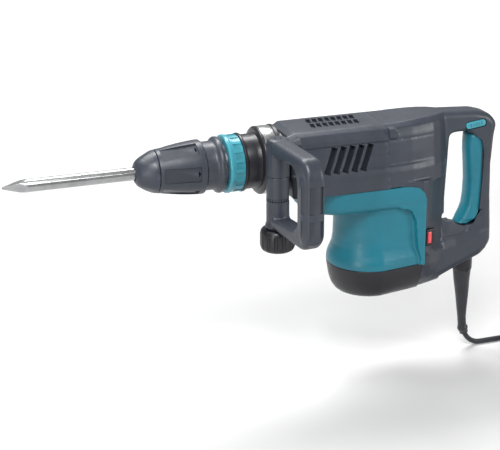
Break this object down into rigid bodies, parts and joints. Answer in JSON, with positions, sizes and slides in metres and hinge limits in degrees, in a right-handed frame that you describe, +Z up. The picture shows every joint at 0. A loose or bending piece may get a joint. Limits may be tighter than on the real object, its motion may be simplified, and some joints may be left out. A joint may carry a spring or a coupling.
{
  "type": "demolition hammer",
  "caption": "Electric demolition hammer: pointed chisel in a tapered chuck, hanging motor, turning D side handle, D rear handle with a paddle trigger, and a mains cord.",
  "frame": {"origin": "centre of the rear grip, where a hand holds the tool", "axes": "+X from the chisel towards the rear handle, parallel to the hammer's axis; +Z up, away from the motor; +Y to the tool's right as seen from behind"},
  "size_m": [0.916, 0.297, 0.392],
  "materials": {
    "body_plastic": "fine moulded grain",
    "black_plastic": "fine moulded grain",
    "teal_plastic": "satin",
    "ring_plastic": "satin",
    "grip_rubber": "soft grip",
    "cord_rubber": "matte",
    "steel": "machined",
    "bright_steel": "polished",
    "dark_steel": "phosphated",
    "cast_alloy": "as cast",
    "lamination": "varnished",
    "copper": "turned copper",
    "carbon": "pressed carbon",
    "red_lens": "clear red",
    "board_green": "lacquered"
  },
  "bodies": {
    "tool_body": {"detent_ring": "black_plastic", "front_sleeve": "black_plastic", "barrel": "cast_alloy", "barrel_screws": "steel", "cylinder": "steel", "crank_bearings": "bright_steel", "crank_housing": "cast_alloy", "motor_bearings": "bright_steel", "stator": "lamination", "brush_holders": "black_plastic", "carbon_brushes": "carbon", "motor_housing": "teal_plastic", "base_cover": "black_plastic", "base_screws": "steel", "housing_cover": "body_plastic", "rear_housing": "body_plastic", "grip_cover": "grip_rubber", "handle_screws": "dark_steel", "trigger_pin": "steel", "switch": "black_plastic", "indicator_bezel": "black_plastic", "indicator_lens": "red_lens", "circuit_board": "board_green", "cord_guard": "cord_rubber", "cord": "cord_rubber", "cord_coil": "cord_rubber", "cord_tie": "black_plastic", "plug": "cord_rubber", "plug_pins": "bright_steel"},
    "holder": {"tool_holder": "dark_steel", "nose_cap": "grip_rubber", "locking_rollers": "steel", "release_spring": "steel", "spring_washer": "steel", "neck_collar": "body_plastic", "bolt_retainer": "steel"},
    "chisel": {"chisel": "steel"},
    "release_cover": {"release_cover": "body_plastic", "lock_sleeve": "steel"},
    "change_ring": {"change_ring": "ring_plastic"},
    "handle_mount": {"handle_band": "bright_steel", "grip_base": "body_plastic", "handle_bolt": "steel"},
    "side_handle": {"side_handle": "body_plastic"},
    "clamp_nut": {"clamp_nut": "black_plastic"},
    "trigger": {"trigger": "teal_plastic"},
    "lock_button": {"lock_button": "teal_plastic"},
    "motor_rotor": {"pinion": "steel", "armature": "lamination", "commutator": "copper", "fan": "black_plastic"},
    "crank": {"crankshaft": "steel", "crank_gear": "dark_steel"},
    "rod": {"connecting_rod": "cast_alloy", "wrist_pin": "steel"},
    "piston": {"piston": "cast_alloy", "piston_ring": "grip_rubber"},
    "striker": {"striker": "steel", "striker_ring": "grip_rubber"},
    "impact_bolt": {"impact_bolt": "steel"}
  },
  "joints": [
    {"name": "chisel_turn", "type": "hinge", "parent": "tool_body", "child": "holder", "pos_m": [-0.4, 0, 0.07], "axis": [1, 0, 0], "continuous": true},
    {"name": "chisel_slide", "type": "slide", "parent": "holder", "child": "chisel", "axis": [1, 0, 0], "range_m": [0, 0.012]},
    {"name": "release_slide", "type": "slide", "parent": "holder", "child": "release_cover", "axis": [1, 0, 0], "range_m": [0, 0.008], "stiffness_N_per_m": 600, "springref_m": -0.012},
    {"name": "change_ring_slide", "type": "slide", "parent": "holder", "child": "change_ring", "axis": [-1, 0, 0], "range_m": [0, 0.004], "stiffness_N_per_m": 500, "springref_m": -0.006},
    {"name": "side_handle_swing", "type": "hinge", "parent": "tool_body", "child": "handle_mount", "pos_m": [-0.3495, 0, 0.07], "axis": [1, 0, 0], "continuous": true},
    {"name": "side_handle_yaw", "type": "hinge", "parent": "handle_mount", "child": "side_handle", "pos_m": [-0.353, -0.066, 0.055], "axis": [0, 0, 1], "range_deg": [-90, 15]},
    {"name": "clamp_nut_turn", "type": "hinge", "parent": "handle_mount", "child": "clamp_nut", "pos_m": [-0.353, -0.066, -0.028], "axis": [0, 0, 1], "continuous": true},
    {"name": "trigger_press", "type": "hinge", "parent": "tool_body", "child": "trigger", "pos_m": [-0.02, 0, -0.042], "axis": [0, 1, 0], "range_deg": [0, 5], "stiffness_Nm_per_rad": 6, "springref_deg": -5.73},
    {"name": "lock_button_press", "type": "slide", "parent": "tool_body", "child": "lock_button", "axis": [0, 1, 0], "range_m": [0, 0.003], "stiffness_N_per_m": 400, "springref_m": -0.003},
    {"name": "motor_spin", "type": "hinge", "parent": "tool_body", "child": "motor_rotor", "pos_m": [-0.185, 0, -0.04], "axis": [0, 0, 1], "continuous": true},
    {"name": "crank_spin", "type": "hinge", "parent": "tool_body", "child": "crank", "pos_m": [-0.239, 0, 0.03], "axis": [0, 0, 1], "continuous": true},
    {"name": "rod_pivot", "type": "hinge", "parent": "crank", "child": "rod", "pos_m": [-0.251, 0, 0.07], "axis": [0, 0, 1], "continuous": true},
    {"name": "piston_slide", "type": "slide", "parent": "tool_body", "child": "piston", "axis": [1, 0, 0], "range_m": [0, 0.024]},
    {"name": "striker_slide", "type": "slide", "parent": "tool_body", "child": "striker", "axis": [1, 0, 0], "range_m": [0, 0.015]},
    {"name": "impact_bolt_slide", "type": "slide", "parent": "tool_body", "child": "impact_bolt", "axis": [1, 0, 0], "range_m": [0, 0.008]}
  ],
  "couplings": [
    {"joint": "motor_spin", "follows": "crank_spin", "ratio": -5.75},
    {"joint": "rod_pivot", "follows": "crank_spin", "ratio": -1}
  ]
}
